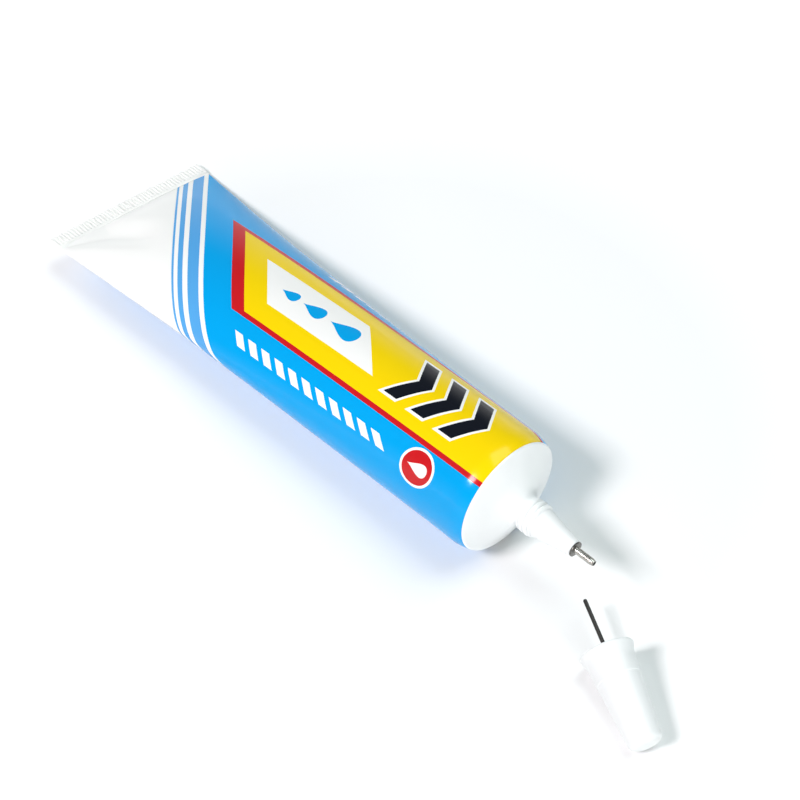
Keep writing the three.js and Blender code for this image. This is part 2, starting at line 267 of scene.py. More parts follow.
class NeedleSettings(bpy.types.PropertyGroup):
    """Sizes of the steel needle."""

    steel: colour("Steel", "Plated steel", "#b4b1ab")
    diameter: length("Diameter", "Outside of the tube", 1.65)
    bore: length("Bore", "Inside of the tube", 1.15)
    reach: length("Reach", "From the flange's face to the tip", 5.2)
    shank: length("Shank", "Part inside the nozzle", 4.5)
    flange_diameter: length("Flange diameter", "Disc that seats on the nozzle", 3.7)
    flange_thickness: length("Flange thickness", "Thickness of the disc", 0.4)
    tip_diameter: length("Tip diameter", "Outside of the swaged tip", 1.25)
    tip_taper: length("Tip taper", "Length of the swaged tip", 0.9)


class CapSettings(bpy.types.PropertyGroup):
    """Sizes and place of the screw cap and its pin."""

    mouth: FloatVectorProperty(
        name="Mouth", description="Centre of the cap's mouth", default=(88 * MM, -8.5 * MM, 6.21 * MM),
        subtype="XYZ", unit="LENGTH", precision=5,
    )
    wire: colour("Wire", "Bare drawn steel of the pin", "#444241")
    mouth_diameter: length("Mouth diameter", "Outside of the flared mouth", 12.4)
    mouth_wall: length("Mouth wall", "Thickness of the lip", 0.9)
    flare_length: length("Flare length", "From the lip to the straight taper", 3.6)
    shank_diameter: length("Shank diameter", "Outside behind the flare", 10.8)
    ledge_height: length("Ledge height", "From the lip to the ledge round the cap", 7.0)
    ledge_step: length("Ledge step", "How far the ledge stands out", 0.14)
    end_diameter: length("End diameter", "Outside at the closed end", 7.8)
    end_round: length("End round", "Rounding of the closed end", 1.6)
    end_wall: length("End wall", "Thickness of the closed end", 2.2)
    clearance: length("Clearance", "Between the cap and what it covers", 0.3)
    tip_clearance: length("Tip clearance", "Between the needle and the seated cap's end", 0.5)
    pin_diameter: length("Pin diameter", "Wire that keeps the needle's bore clear", 0.9)
    pin_reach: length("Pin reach", "How far the pin stands out of the mouth", 12.4)
    pin_root: length("Pin root", "How far the pin is set into the closed end", 1.4)
    yaw: angle("Yaw", "The cap's closed end points aside by this angle", 25.0)
    lean: angle("Lean", "The cap lies on its lip and its end, with the closed end low", 6.237)


class StageSettings(bpy.types.PropertyGroup):
    """Floor, light and camera."""

    floor: colour("Floor", "Pale table", "#f1f2f2")
    side_power: power("Side lamp", "Lamp from the left", 8.9)
    overhead_power: power("Overhead box", "Wide lamp above", 5.8)
    front_power: power("Front box", "Fill from the front", 4.6)
    ambient: FloatProperty(name="Ambient", description="Level of the surroundings", default=0.15, min=0)
    azimuth: angle("Azimuth", "Camera's direction round the tube, 0 looks along +Y", 45.51)
    elevation: angle("Elevation", "Camera's height above the horizon", 54.82)
    distance: length("Distance", "Camera to the point that it looks at", 468.12)
    lens: FloatProperty(
        name="Lens", description="Focal length on a 36 mm sensor", default=89.28, unit="CAMERA"
    )


# Modelling steps that several pieces share.


def active_only(piece):
    """Makes a piece the only selected and active object."""
    bpy.ops.object.select_all(action="DESELECT")
    piece.select_set(True)
    bpy.context.view_layer.objects.active = piece


def pick_vertices(piece, test):
    """In edit mode, selects the vertices that pass the test, with the edges and faces between them."""
    bpy.ops.mesh.select_mode(type="VERT")
    bpy.ops.mesh.select_all(action="DESELECT")
    mesh = bmesh.from_edit_mesh(piece.data)
    for vertex in mesh.verts:
        vertex.select_set(bool(test(vertex)))
    mesh.select_flush(True)
    bmesh.update_edit_mesh(piece.data)


def draw_outline(name, corners):
    """Extrudes one vertex round an outline and rounds its corners. It stays in edit mode.
    A corner is its place along the axis, its radius and the size of its rounding."""
    bpy.ops.object.select_all(action="DESELECT")
    bpy.ops.mesh.primitive_plane_add(size=MM, location=(0, 0, 0))
    piece = bpy.context.active_object
    piece.name = name
    piece.data.name = name
    places = [Vector((along, 0, radius)) for along, radius, _ in corners]
    bpy.ops.object.mode_set(mode="EDIT")
    bpy.ops.mesh.merge(type="CENTER")
    bpy.ops.transform.translate(value=places[0])
    for start, end in zip(places, places[1:]):
        bpy.ops.mesh.extrude_region_move(TRANSFORM_OT_translate={"value": end - start})
    for place, (_, _, rounding) in zip(places, corners):
        if rounding:
            pick_vertices(piece, lambda vertex: (vertex.co - place).length < WELD)
            bpy.ops.mesh.bevel(offset=rounding, segments=ROUND_SEGMENTS, affect="VERTICES")
    return piece


def divide_outline(piece, start, end, radius, cuts):
    """Cuts the outline's straight stretch at a radius into short edges."""
    def on_stretch(vertex):
        return start - WELD < vertex.co.x < end + WELD and abs(vertex.co.z - radius) < WELD

    pick_vertices(piece, on_stretch)
    bpy.ops.mesh.subdivide(number_cuts=cuts)


def spin_outline(steps):
    """Spins the outline round the X axis into a closed skin, and leaves edit mode."""
    bpy.ops.mesh.select_all(action="SELECT")
    bpy.ops.mesh.spin(steps=steps, angle=2 * math.pi, center=(0, 0, 0), axis=(1, 0, 0))
    bpy.ops.mesh.select_all(action="SELECT")
    bpy.ops.mesh.remove_doubles(threshold=WELD)
    bpy.ops.mesh.normals_make_consistent(inside=False)
    bpy.ops.object.mode_set(mode="OBJECT")


def smooth_step(low, high, value):
    """0 below low, 1 above high, with a soft change between them."""
    share = min(max((value - low) / (high - low), 0.0), 1.0)
    return share * share * (3 - 2 * share)


def raise_thread(piece, start, end, root, height, pitch):
    """Lifts a rounded helical ridge out of a turned stretch. It runs out into the root at both ends."""
    for vertex in piece.data.vertices:
        radius = math.hypot(vertex.co.y, vertex.co.z)
        if not start <= vertex.co.x <= end or abs(radius - root) > WELD * 10:
            continue
        turn = (vertex.co.x - start) / pitch - math.atan2(vertex.co.z, vertex.co.y) / (2 * math.pi)
        crest = math.sqrt(1 - (2 * (turn % 1) - 1) ** 2)
        run_out = min(vertex.co.x - start, end - vertex.co.x)
        lift = height * crest * smooth_step(0, pitch / 3, run_out)
        vertex.co.yz *= (radius + lift) / radius


def place_piece(piece, matrix, smooth_degrees):
    """Puts a piece in its place, with the place in its mesh, and shades it smooth up to an angle."""
    piece.matrix_world = matrix
    active_only(piece)
    bpy.ops.object.transform_apply(location=True, rotation=True, scale=True)
    bpy.ops.object.shade_smooth_by_angle(angle=math.radians(smooth_degrees))


def dress_piece(piece, material, node, body):
    """Gives a piece its finish, hides the CAD part that it stands for, and hangs it on the body that carries
    it.
    """
    piece.data.materials.clear()
    piece.data.materials.append(material)
    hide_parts(node)
    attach(piece, body)


def tube_matrix(sleeve):
    """The tube's own frame, from the crimp's mount: origin at the rim's centre, X along the axis."""
    mount = next(m for m in frame["record"]["mounts"] if m["name"] == "tail_crimp")
    tailward = Vector(mount["axis"]).normalized()
    rim = Vector(mount["pos_m"]) - tailward * (sleeve.length + sleeve.crimp_length)
    tilt = math.asin(-tailward.z)
    return Matrix.Translation(rim) @ Matrix.Rotation(-tilt, 4, "Y")


def cap_matrix(cap):
    """The cap's own frame: origin at the mouth's centre, X towards the closed end."""
    turn = Matrix.Rotation(-cap.yaw, 4, "Z") @ Matrix.Rotation(cap.lean, 4, "Y")
    return Matrix.Translation(cap.mouth) @ turn


# Materials.


def add_node(tree, kind, inputs=None, **settings):
    """Adds a node with its settings. An input is a node or socket to link, or a value to set."""
    node = tree.nodes.new(kind)
    for name, value in settings.items():
        setattr(node, name, value)
    for key, value in (inputs or {}).items():
        if isinstance(value, bpy.types.Node):
            value = value.outputs[0]
        if isinstance(value, bpy.types.NodeSocket):
            tree.links.new(value, node.inputs[key])
        else:
            node.inputs[key].default_value = value
    return node


def new_material(name):
    """An empty node material, its node tree and the Object coordinates in it."""
    material = bpy.data.materials.new(name)
    material.use_nodes = True
    tree = material.node_tree
    tree.nodes.clear()
    return material, tree, add_node(tree, "ShaderNodeTexCoord").outputs["Object"]


def darker(tone, share):
    """A colour with each of its parts brought down to a share."""
    return tuple(part * share for part in tone[:3]) + (1.0,)


def printed_laminate(ink, sleeve):
    """Polyethylene laminate, printed flat before it is rolled to a tube, then varnished.
    The eye gets clean flat inks under one even gloss, with the faint unevenness of a soft wall."""
    material, tree, place = new_material("printed_laminate_varnished")
    web = add_node(tree, "ShaderNodeUVMap", uv_map=WEB_MAP)
    girth = math.pi * sleeve.diameter / MM
    full = (sleeve.length + sleeve.crimp_length) / MM
    sized = add_node(tree, "ShaderNodeMapping", {
        "Vector": web, "Location": (-girth / 4, 0, 0), "Scale": (girth, full, 1),
    })
    split = add_node(tree, "ShaderNodeSeparateXYZ", {0: sized})
    along = split.outputs["Y"]
    across = add_node(tree, "ShaderNodeMath", {
        0: split.outputs["X"], 1: girth / 2, 2: -girth / 2,
    }, operation="WRAP")
    aside = add_node(tree, "ShaderNodeMath", {0: across}, operation="ABSOLUTE")
    lean, fold, arrow = (
        add_node(tree, "ShaderNodeMath", {0: base, 1: slope, 2: along}, operation="MULTIPLY_ADD")
        for base, slope in ((across, SLANT), (aside, SLANT), (aside, -ARROW_SLOPE))
    )

    def all_of(*tests):
        """A mask that is 1 where every test holds.
        A test is a value, its middle and how far from the middle still counts."""
        mask = None
        for value, middle, reach in tests:
            inside = add_node(tree, "ShaderNodeMath", {0: value, 1: middle, 2: reach}, operation="COMPARE")
            if mask:
                inside = add_node(tree, "ShaderNodeMath", {0: mask, 1: inside}, operation="MULTIPLY")
            mask = inside
        return mask

    def drop_at(middle_across, middle_along, size):
        """A mask of a falling drop, round towards the nozzle."""
        share = add_node(tree, "ShaderNodeMapRange", {
            "Value": along, "From Min": middle_along + size / 2, "From Max": middle_along - size / 2,
        })
        rise = add_node(tree, "ShaderNodeMath", {0: share, 1: 3.0}, operation="POWER")
        fall = add_node(tree, "ShaderNodeMath", {0: 1.0, 1: share}, operation="SUBTRACT")
        swell = add_node(tree, "ShaderNodeMath", {0: rise, 1: fall}, operation="MULTIPLY")
        swell = add_node(tree, "ShaderNodeMath", {0: swell, 1: 0.5}, operation="POWER")
        reach = add_node(tree, "ShaderNodeMath", {0: swell, 1: size * DROP_FULLNESS}, operation="MULTIPLY")
        offset = add_node(tree, "ShaderNodeMath", {0: across, 1: middle_across}, operation="SUBTRACT")
        offset = add_node(tree, "ShaderNodeMath", {0: offset}, operation="ABSOLUTE")
        return add_node(tree, "ShaderNodeMath", {0: offset, 1: reach}, operation="LESS_THAN")

    def repeat(value, start, pitch):
        """Distance from the start of the nearest repeat."""
        shifted = add_node(tree, "ShaderNodeMath", {0: value, 1: start}, operation="SUBTRACT")
        return add_node(tree, "ShaderNodeMath", {0: shifted, 1: pitch}, operation="FLOORED_MODULO")

    def span(value, low, high):
        """A test that a value lies between two limits."""
        return value, (low + high) / 2, (high - low) / 2

    field = (across, 0.0, FIELD_HALF_WIDTH)
    edged = (across, 0.0, BAND_HALF_WIDTH + BAND_EDGE)
    arrow_start = ARROW_START - ARROW_KEYLINE
    arrow_step = repeat(arrow, arrow_start, ARROW_PITCH)
    arrow_run = span(arrow, arrow_start, arrow_start + ARROW_COUNT * ARROW_PITCH)
    thick = ARROW_THICKNESS + 2 * ARROW_KEYLINE
    keyed = (across, 0.0, ARROW_HALF_WIDTH + ARROW_KEYLINE)
    inner = span(arrow_step, ARROW_KEYLINE, thick - ARROW_KEYLINE)
    dash_step = repeat(fold, DASH_START, DASH_PITCH)
    dash_run = span(fold, DASH_START, DASH_START + DASH_COUNT * DASH_PITCH)
    centre = (*ROUNDEL_PLACE, 0.0)
    out = add_node(tree, "ShaderNodeVectorMath", {0: sized, 1: centre}, operation="DISTANCE")
    out = out.outputs["Value"]
    layers = [
        (all_of(field, span(lean, -FAR, FIELD_END)), ink.field),
        *((all_of(field, span(lean, *stripe)), ink.stripe) for stripe in STRIPES),
        (all_of(span(aside, BACK_START, FIELD_HALF_WIDTH)), ink.field),
        (all_of(edged, span(lean, -FAR, BAND_END + BAND_TAIL_EDGE)), ink.edging),
        (all_of((across, 0.0, BAND_HALF_WIDTH), span(lean, -FAR, BAND_END)), ink.band),
        (all_of((across, 0.0, PLATE_HALF_WIDTH), span(lean, *PLATE_ENDS)), ink.ground),
        *((drop_at(0.0, middle, size), ink.field) for middle, size in PLATE_DROPS),
        (all_of(arrow_run, keyed, span(arrow_step, 0, thick)), ink.ground),
        (all_of(arrow_run, (across, 0.0, ARROW_HALF_WIDTH), inner), ink.dark),
        (all_of(span(aside, *DASH_LANE), dash_run, span(dash_step, 0, DASH_LENGTH)), ink.ground),
        (all_of((out, 0.0, ROUNDEL_RADIUS)), ink.ground),
        (all_of((out, 0.0, ROUNDEL_RADIUS - ROUNDEL_RING)), ink.edging),
        (drop_at(*ROUNDEL_PLACE, ROUNDEL_DROP), ink.ground),
        (all_of(span(across, *MARK_ACROSS), span(along, *MARK_ALONG)), ink.dark),
        (all_of(span(along, PRINT_END, FAR)), ink.ground),
    ]
    shade = tuple(ink.ground)
    for mask, layer in layers:
        mix = add_node(tree, "ShaderNodeMix", {0: mask, 6: shade, 7: tuple(layer)}, data_type="RGBA")
        shade = mix.outputs[2]

    wall = add_node(tree, "ShaderNodeTexNoise", {"Vector": place, "Scale": 1 / WALL_WAVE, "Detail": 1.0})
    peel = add_node(tree, "ShaderNodeTexNoise", {"Vector": place, "Scale": 1 / VARNISH_PEEL, "Detail": 2.0})
    uneven = add_node(tree, "ShaderNodeBump", {"Strength": 0.6, "Distance": 0.05 * MM, "Height": wall})
    surface = add_node(tree, "ShaderNodeBump", {
        "Strength": 0.25, "Distance": 0.004 * MM, "Height": peel, "Normal": uneven,
    })
    gloss = add_node(tree, "ShaderNodeMapRange", {"Value": peel, "To Min": 0.12, "To Max": 0.18})
    shader = add_node(tree, "ShaderNodeBsdfPrincipled", {
        "Base Color": shade, "Roughness": gloss, "IOR": 1.5, "Specular IOR Level": 0.22, "Normal": surface,
    })
    add_node(tree, "ShaderNodeOutputMaterial", {"Surface": shader})
    return material


def moulded_polyethylene(plastic):
    """White polyethylene, injection moulded.
    The eye gets a satin skin that lets light a little way in, with a fine mould grain."""
    material, tree, place = new_material(WHITE_PLASTIC)
    grain = add_node(tree, "ShaderNodeTexNoise", {"Vector": place, "Scale": 1 / MOULD_GRAIN, "Detail": 3.0})
    flow = add_node(tree, "ShaderNodeTexNoise", {"Vector": place, "Scale": 1 / MOULD_FLOW, "Detail": 1.0})
    bump = add_node(tree, "ShaderNodeBump", {"Strength": 0.3, "Distance": 0.008 * MM, "Height": grain})
    gloss = add_node(tree, "ShaderNodeMapRange", {"Value": flow, "To Min": 0.36, "To Max": 0.48})
    thin = darker(plastic, MOULD_TONE)
    tone = add_node(tree, "ShaderNodeMix", {0: flow, 6: tuple(plastic), 7: thin}, data_type="RGBA")
    shader = add_node(tree, "ShaderNodeBsdfPrincipled", {
        "Base Color": tone.outputs[2], "Roughness": gloss, "IOR": 1.53, "Normal": bump,
        "Subsurface Weight": 0.2, "Subsurface Radius": (1.0, 1.0, 1.0), "Subsurface Scale": 0.3 * MM,
    })
    add_node(tree, "ShaderNodeOutputMaterial", {"Surface": shader})
    return material


def plated_steel(steel, matrix, flange_face):
    """Nickel-plated steel: a bright satin tube with faint rings round it, and a flange darkened by painted
    shade.
    The rings are drawn about four times as coarse as the real ones, so that they show."""
    material, tree, place = new_material("steel_nickel_plated")
    inverse = matrix.inverted()
    ring_scale = (1 / RING_PITCH, 1 / RING_RUN, 1 / RING_RUN)
    along = add_node(tree, "ShaderNodeMapping", {
        "Vector": place, "Location": inverse.translation, "Rotation": inverse.to_euler(),
    })
    fine = add_node(tree, "ShaderNodeMapping", {"Vector": along, "Scale": ring_scale})
    rings = add_node(tree, "ShaderNodeTexNoise", {"Vector": fine, "Scale": 1.0, "Detail": 2.0})
    ahead = add_node(tree, "ShaderNodeSeparateXYZ", {0: along}).outputs["X"]
    on_tube = add_node(tree, "ShaderNodeMath", {0: ahead, 1: flange_face}, operation="GREATER_THAN")
    # Painted shade: the flange gets a darker copy of the steel's colour.
    darker_tone = darker(steel, FLANGE_PAINTED_SHADE)
    tone = add_node(tree, "ShaderNodeMix", {0: on_tube, 6: darker_tone, 7: tuple(steel)}, data_type="RGBA")
    gloss = add_node(tree, "ShaderNodeMapRange", {"Value": rings, "To Min": 0.25, "To Max": 0.30})
    shader = add_node(tree, "ShaderNodeBsdfPrincipled", {
        "Base Color": tone.outputs[2], "Metallic": 1.0, "Roughness": gloss,
    })
    add_node(tree, "ShaderNodeOutputMaterial", {"Surface": shader})
    return material


def drawn_wire(wire, matrix):
    """Bare steel wire, drawn through a die: grey, with fine scores along its length."""
    material, tree, place = new_material("steel_wire_drawn")
    turned = matrix.inverted().to_euler()
    score_scale = (1 / SCORE_RUN, 1 / SCORE_PITCH, 1 / SCORE_PITCH)
    along = add_node(tree, "ShaderNodeMapping", {"Vector": place, "Rotation": turned})
    fine = add_node(tree, "ShaderNodeMapping", {"Vector": along, "Scale": score_scale})
    scores = add_node(tree, "ShaderNodeTexNoise", {"Vector": fine, "Scale": 1.0, "Detail": 2.0})
    bump = add_node(tree, "ShaderNodeBump", {"Strength": 0.3, "Distance": 0.006 * MM, "Height": scores})
    gloss = add_node(tree, "ShaderNodeMapRange", {"Value": scores, "To Min": 0.26, "To Max": 0.45})
    darker_tone = darker(wire, WIRE_TONE)
    tone = add_node(tree, "ShaderNodeMix", {0: scores, 6: tuple(wire), 7: darker_tone}, data_type="RGBA")
    shader = add_node(tree, "ShaderNodeBsdfPrincipled", {
        "Base Color": tone.outputs[2], "Metallic": 1.0, "Roughness": gloss, "Normal": bump,
    })
    add_node(tree, "ShaderNodeOutputMaterial", {"Surface": shader})
    return material


def clear_adhesive():
    """Clear contact adhesive, a thick liquid: glassy and faintly yellow, with small bubbles in it."""
    material, tree, place = new_material("contact_adhesive_clear")
    bubbles = add_node(tree, "ShaderNodeTexVoronoi", {"Vector": place, "Scale": 1 / BUBBLE_PITCH})
    bump = add_node(tree, "ShaderNodeBump", {"Strength": 0.3, "Distance": 0.1 * MM, "Height": bubbles})
    shader = add_node(tree, "ShaderNodeBsdfPrincipled", {
        "Base Color": linear("#f6f1dc"), "Roughness": 0.08, "IOR": 1.47,
        "Transmission Weight": 0.8, "Normal": bump,
    })
    add_node(tree, "ShaderNodeOutputMaterial", {"Surface": shader})
    return material


# Sleeve and adhesive: rings of points that are laid along the tube.


def flattened_outline(half_width, half_height, edge):
    """Section of the sleeve: an ellipse at edge 0.5, whose sides grow pointed towards edge 1."""
    outline = []
    for i in range(OUTLINE_STEPS):
        turn = 2 * math.pi * i / OUTLINE_STEPS
        rise = math.sin(turn)
        height = half_height * math.copysign(abs(rise) ** (2 * edge), rise)
        outline.append(Vector((half_width * math.cos(turn), height)))
    return outline


def lengths_round(outline):
    """Distance along a closed outline at each of its points, and at its end."""
    lengths = [0.0]
    for start, end in zip(outline, outline[1:] + outline[:1]):
        lengths.append(lengths[-1] + (end - start).length)
    return lengths


def spread_evenly(outline, count):
    """Points at equal distances along a closed outline."""
    lengths = lengths_round(outline)
    closed = outline + outline[:1]
    spread = []
    i = 0
    for n in range(count):
        target = lengths[-1] * n / count
        while lengths[i + 1] < target:
            i += 1
        share = (target - lengths[i]) / (lengths[i + 1] - lengths[i])
        spread.append(closed[i].lerp(closed[i + 1], share))
    return spread


def flat_height(half_width, edge, full_girth, least):
    """The laminate doesn't stretch, so a wider section is flatter by just as much as keeps its girth."""
    low, high = 0.0, half_width
    for _ in range(GIRTH_HALVINGS):
        middle = (low + high) / 2
        if lengths_round(flattened_outline(half_width, middle, edge))[-1] > full_girth:
            high = middle
        else:
            low = middle
    return max(low, least)


def web_lift(sleeve, around, behind, room):
    """How far the laminate stands out at a place on its web: waves, the lap of the seam and the dent."""
    girth = math.pi * sleeve.diameter
    turn = 2 * math.pi * around / girth
    radius = sleeve.diameter / 2
    spot = Vector((radius * math.cos(turn), radius * math.sin(turn), behind / 2)) / WAVE_PITCH
    calm = smooth_step(0, CALM_FRONT, behind) * smooth_step(0, CALM_TAIL, sleeve.length - behind)
    lift = sleeve.wave_height * noise.noise(spot) * calm
    if abs(around - SEAM_PLACE * girth) < SEAM_LAP / 2:
        lift += SEAM_STEP
    crease = Vector(DENT_APEX) - Vector(DENT_CORNER)
    offset = Vector((around, behind)) - Vector(DENT_CORNER)
    run = offset.dot(crease) / crease.length_squared
    inward = (crease.y * offset.x - crease.x * offset.y) / crease.length
    if 0 < run < 1 and around < girth / 2:
        slope = min(inward, DENT_WIDTH) / DENT_WIDTH if inward > 0 else 0.0
        fade = 1 - smooth_step(DENT_WIDTH, DENT_FADE * DENT_WIDTH, inward)
        lift -= sleeve.dent_depth * slope * fade * smooth_step(0, DENT_RUN_OUT, 1 - run)
    return max(lift, -DEEPEST_DENT * room)


def sleeve_ring(sleeve, matrix, behind, inset):
    """Points round the sleeve at equal distances along its girth, from its +Y edge over the top.
    The ring is drawn in by an inset, rolled with the crimp and pressed flat by the table."""
    radius = sleeve.diameter / 2
    girth = 2 * math.pi * radius
    share = max(behind - sleeve.skirt, 0) / (sleeve.length - sleeve.skirt)
    half_width = radius + (girth / 4 - radius) * share ** SPREAD_EXPONENT
    edge = 0.5 + (TAIL_EDGE_EXPONENT - 0.5) * share ** 2
    half_height = flat_height(half_width, edge, girth, sleeve.wall)
    outline = flattened_outline(half_width - inset, half_height - inset, edge)
    points = spread_evenly(outline, SLEEVE_POINTS)
    draw = sleeve.rim_draw * max(1 - behind / sleeve.skirt, 0) ** 2
    tilt = math.asin(matrix[2][0])
    table = (behind * math.sin(tilt) - matrix.translation.z + inset) / math.cos(tilt)
    ring = []
    for n, point in enumerate(points):
        tangent = (points[(n + 1) % SLEEVE_POINTS] - points[n - 1]).normalized()
        outward = Vector((tangent.y, -tangent.x))
        lift = web_lift(sleeve, girth * n / SLEEVE_POINTS, behind, half_height - sleeve.wall) - draw
        spot = Matrix.Rotation(-sleeve.roll, 2) @ (point + outward * lift)
        ring.append(Vector((-behind, spot.x, max(spot.y, table))))
    return ring


def crimp_ring(sleeve, behind, ribbed):
    """Points round the crimp: flat lands with narrow grooves between them, deeper on the upper side."""
    half_width = math.pi * sleeve.diameter / 4
    half = SLEEVE_POINTS // 2
    ring = []
    for n in range(SLEEVE_POINTS):
        side = 1 if n < half else -1
        from_edge = n % half
        across = side * half_width * (1 - 2 * from_edge / half)
        column = n if side > 0 else SLEEVE_POINTS - n
        wave = ribbed * sleeve.rib_depth / 2
        if column % POINTS_PER_RIB == 0:
            wave *= -2 if side > 0 else -1
        height = wave + (side * sleeve.wall if from_edge else 0.0)
        spot = Matrix.Rotation(-sleeve.roll, 2) @ Vector((across, height))
        ring.append(Vector((-behind, *spot)))
    return ring


def wrap_rings(name, rings):
    """A tube primitive that is cut once for each ring and then laid on the rings, with closed ends.
    Returns the piece, and the ring and column of each of its vertices."""
    count = len(rings[0])
    span = (len(rings) - 1) * MM
    bpy.ops.object.select_all(action="DESELECT")
    bpy.ops.mesh.primitive_cylinder_add(
        vertices=count, radius=MM, depth=span, end_fill_type="NOTHING", rotation=(0, math.pi / 2, 0)
    )
    piece = bpy.context.active_object
    piece.name = name
    piece.data.name = name
    bpy.ops.object.transform_apply(location=False, rotation=True, scale=False)
    bpy.ops.object.mode_set(mode="EDIT")
    bpy.ops.mesh.select_mode(type="EDGE")
    bpy.ops.mesh.select_all(action="DESELECT")
    mesh = bmesh.from_edit_mesh(piece.data)
    for edge in mesh.edges:
        edge.select_set(abs(edge.verts[0].co.x - edge.verts[1].co.x) > span / 2)
    bmesh.update_edit_mesh(piece.data)
    bpy.ops.mesh.subdivide(number_cuts=len(rings) - 2)
    bpy.ops.object.mode_set(mode="OBJECT")
    places = []
    for vertex in piece.data.vertices:
        row = round((vertex.co.x + span / 2) / MM)
        column = round(math.atan2(vertex.co.z, vertex.co.y) / (2 * math.pi) * count) % count
        places.append((row, column))
        vertex.co = rings[row][column]
    bpy.ops.object.mode_set(mode="EDIT")
    for end in (0, len(rings) - 1):
        pick_vertices(piece, lambda vertex: places[vertex.index][0] == end)
        bpy.ops.mesh.fill()
    bpy.ops.mesh.select_all(action="SELECT")
    bpy.ops.mesh.normals_make_consistent(inside=False)
    bpy.ops.object.mode_set(mode="OBJECT")
    return piece, places


def map_web(piece, places, depths):
    """Unrolls the sleeve onto its flat web: round the girth, and along the tube from the rim."""
    layer = piece.data.uv_layers.new(name=WEB_MAP)
    for face in piece.data.polygons:
        columns = [places[i][1] for i in face.vertices]
        over_seam = max(columns) - min(columns) > SLEEVE_POINTS / 2 and len(columns) == 4
        for loop, column in zip(face.loop_indices, columns):
            row = places[piece.data.loops[loop].vertex_index][0]
            lap = SLEEVE_POINTS if over_seam and column == 0 else 0
            layer.data[loop].uv = ((column + lap) / SLEEVE_POINTS, depths[row])


def make_sleeve(settings):
    """Sleeve with its crimp: outside from the tail to the rim, round the cut edge and back inside."""
    sleeve = settings.tube_sleeve
    matrix = tube_matrix(sleeve)
    end = sleeve.length + sleeve.crimp_length
    ribs_end = end - sleeve.rib_length
    crimp = [(end, 1.0), (ribs_end + RIB_RUN_OUT, 1.0), (ribs_end, 0.0), (sleeve.length + RIB_RUN_OUT, 0.0)]
    rings = [crimp_ring(sleeve, behind, ribbed) for behind, ribbed in crimp]
    depths = [behind / end for behind, _ in crimp]
    stations = []
    for i in range(OUTSIDE_ROWS, 0, -1):
        reach = math.sin(0.5 * math.pi * i / OUTSIDE_ROWS)
        stations.append((sleeve.skirt + (sleeve.length - sleeve.skirt) * reach, 0.0))
    for i in range(SKIRT_ROWS, 0, -1):
        stations.append((sleeve.skirt * i / SKIRT_ROWS, 0.0))
    edge = sleeve.wall / 4
    stations += [(edge, 0.0), (edge * 0.3, edge * 0.3), (0.0, edge), (0.0, sleeve.wall - edge)]
    for i in range(INSIDE_ROWS + 1):
        reach = math.sin(0.5 * math.pi * i / INSIDE_ROWS)
        stations.append((edge + (sleeve.length - CAVITY_STOP - edge) * reach, sleeve.wall))
    rings += [sleeve_ring(sleeve, matrix, behind, inset) for behind, inset in stations]
    depths += [behind / end if inset < sleeve.wall else 1.0 for behind, inset in stations]
    piece, places = wrap_rings("laminate_sleeve", rings)
    map_web(piece, places, depths)
    place_piece(piece, matrix, SMOOTH_DEGREES)
    finish = printed_laminate(settings.tube_print, sleeve)
    dress_piece(piece, finish, "tube_sleeve", "tube")


def make_adhesive(settings):
    """Adhesive that fills the sleeve, the shoulder's cone and the neck."""
    sleeve, moulding = settings.tube_sleeve, settings.tube_moulding
    matrix = tube_matrix(sleeve)
    inset = sleeve.wall + FIT_GAP
    front = sleeve.skirt + FIT_GAP
    stations = []
    for i in range(INSIDE_ROWS * 2, -1, -1):
        reach = math.sin(0.5 * math.pi * i / (INSIDE_ROWS * 2))
        stations.append(front + (sleeve.length - FILL_STOP - front) * reach)
    rings = [sleeve_ring(sleeve, matrix, behind, inset) for behind in stations]
    plug = sleeve.diameter / 2 - sleeve.rim_draw - sleeve.wall - moulding.shoulder_wall - 3 * FIT_GAP
    channel = moulding.neck_bore / 2 - FIT_GAP
    wall = moulding.shoulder_wall + FIT_GAP
    neck_end = moulding.neck_base + moulding.neck_length
    steps = (
        (-front + FIT_GAP, plug),
        (on_cone(settings, plug) - wall, plug),
        (on_cone(settings, channel) - wall, channel),
        (neck_end - moulding.spigot_length - FIT_GAP, channel),
    )
    for along, radius in steps:
        ring = []
        for n in range(SLEEVE_POINTS):
            turn = 2 * math.pi * n / SLEEVE_POINTS - sleeve.roll
            ring.append(Vector((along, radius * math.cos(turn), radius * math.sin(turn))))
        rings.append(ring)
    piece, _ = wrap_rings("adhesive_body", rings)
    place_piece(piece, matrix, SMOOTH_DEGREES)
    dress_piece(piece, clear_adhesive(), "adhesive_fill", "tube")


# Turned pieces.


def on_cone(settings, radius):
    """Place along the axis where the shoulder's plain cone has a radius."""
    moulding = settings.tube_moulding
    rim = settings.tube_sleeve.diameter / 2
    neck = moulding.neck_diameter / 2
    share = (rim - radius) / (rim - neck)
    return moulding.cone_foot + (moulding.cone_end - moulding.cone_foot) * share


